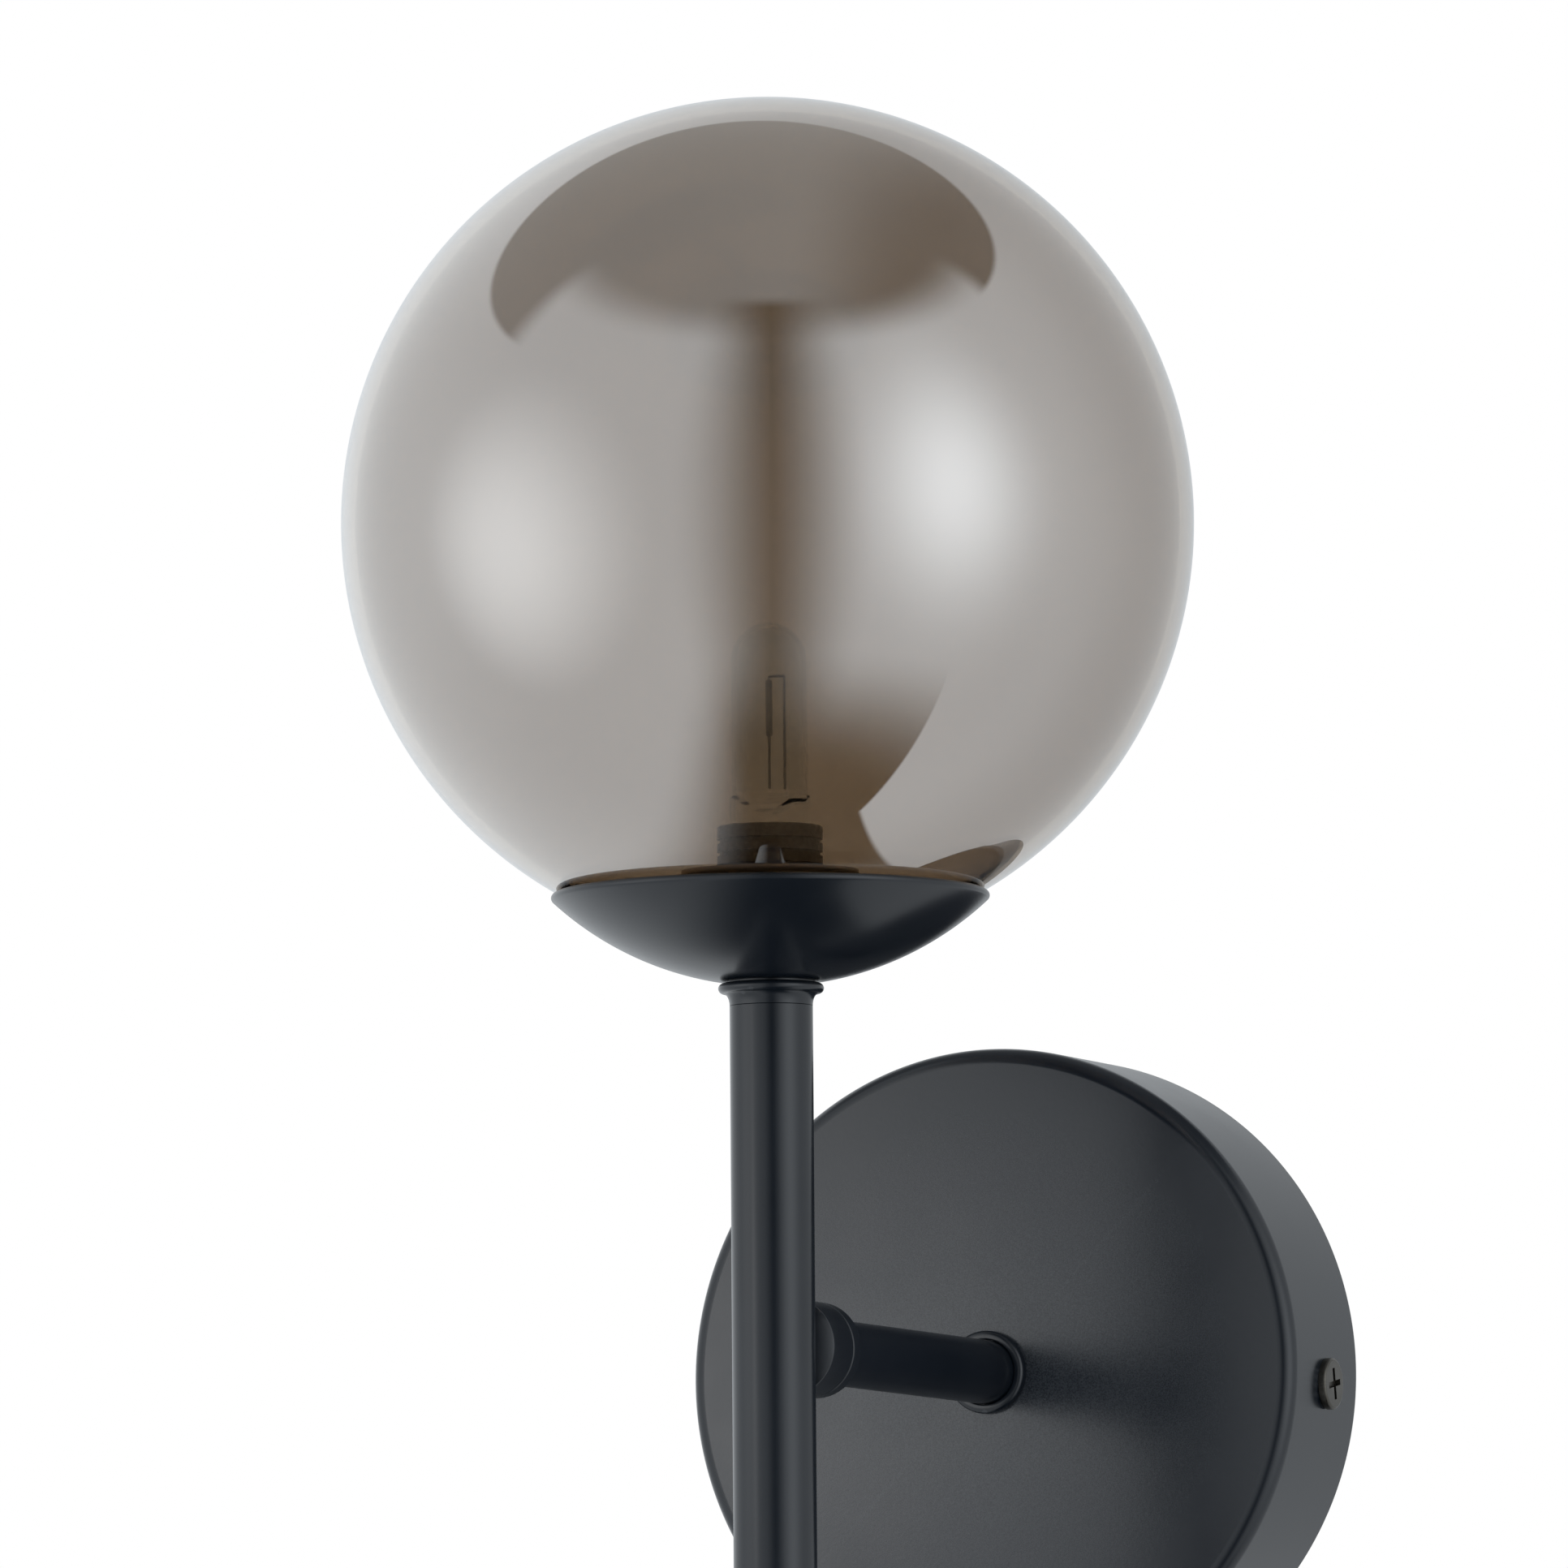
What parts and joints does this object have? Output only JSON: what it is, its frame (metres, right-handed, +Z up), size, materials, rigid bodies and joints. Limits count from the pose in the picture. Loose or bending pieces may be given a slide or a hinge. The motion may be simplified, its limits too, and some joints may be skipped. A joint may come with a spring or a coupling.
{
  "type": "globe wall sconce",
  "caption": "Wall light: a smoked glass ball on a vertical black stem, held off a round wall canopy by a short straight arm.",
  "frame": {"origin": "on the wall plane at the canopy's centre, midway between the bracket's two slots", "axes": "+Z up along the stem, +Y into the wall, +X to the right as seen from the room"},
  "size_m": [0.152, 0.2079, 0.2975],
  "materials": {
    "smoked_glass": "smoked, half mirrored",
    "clear_glass": "clear",
    "silicone": "translucent matt",
    "black_finish": "satin black",
    "plated_steel": "zinc plated",
    "screw_finish": "dull dark plating",
    "brass": "plain",
    "holder_ceramic": "unglazed",
    "white_nylon": "moulded",
    "filament": "drawn wire",
    "live_insulation": "brown",
    "neutral_insulation": "blue",
    "earth_insulation": "green and yellow"
  },
  "bodies": {
    "fixture": {"gallery_bowl": "black_finish", "threaded_sleeve": "plated_steel", "stem_nipple": "plated_steel", "stem_washer": "plated_steel", "stem_nut": "plated_steel", "lampholder_cap": "plated_steel", "lampholder_body": "holder_ceramic", "lampholder_contacts": "brass", "lampholder_screws": "plated_steel", "stem_collar": "black_finish", "stem_rod": "black_finish", "stem_tee": "brass", "stem_end_cap": "black_finish", "arm_coupler": "black_finish", "coupler_ring": "black_finish", "arm_tube": "black_finish", "front_nipple": "plated_steel", "rear_nipple": "plated_steel", "arm_collar": "black_finish", "arm_washer": "plated_steel", "arm_nut": "plated_steel", "wall_canopy": "black_finish", "canopy_side_screws": "screw_finish", "mounting_bracket": "plated_steel", "terminal_block": "white_nylon", "terminal_clamps": "brass", "terminal_screws": "plated_steel", "terminal_fixing_screw": "plated_steel", "earth_screw": "brass", "earth_tag": "plated_steel", "earth_lead": "earth_insulation", "live_lead": "live_insulation", "neutral_lead": "neutral_insulation"},
    "globe_rise": {"neck_gasket": "silicone"},
    "globe": {"globe_shade": "smoked_glass"},
    "bulb": {"bulb_envelope": "clear_glass", "bulb_pins": "plated_steel", "bulb_filament": "filament"}
  },
  "joints": [
    {"name": "thread_rise", "type": "slide", "parent": "fixture", "child": "globe_rise", "axis": [0, 0, 1], "range_m": [0, 0.00313]},
    {"name": "globe_turn", "type": "hinge", "parent": "globe_rise", "child": "globe", "pos_m": [0, -0.1319, 0.0725], "axis": [0, 0, 1], "range_deg": [0, 450]},
    {"name": "bulb_pull", "type": "slide", "parent": "fixture", "child": "bulb", "axis": [0, 0, 1], "range_m": [0, 0.015]}
  ],
  "couplings": [
    {"joint": "thread_rise", "follows": "globe_turn", "m_per_rad": 0.00039789}
  ]
}
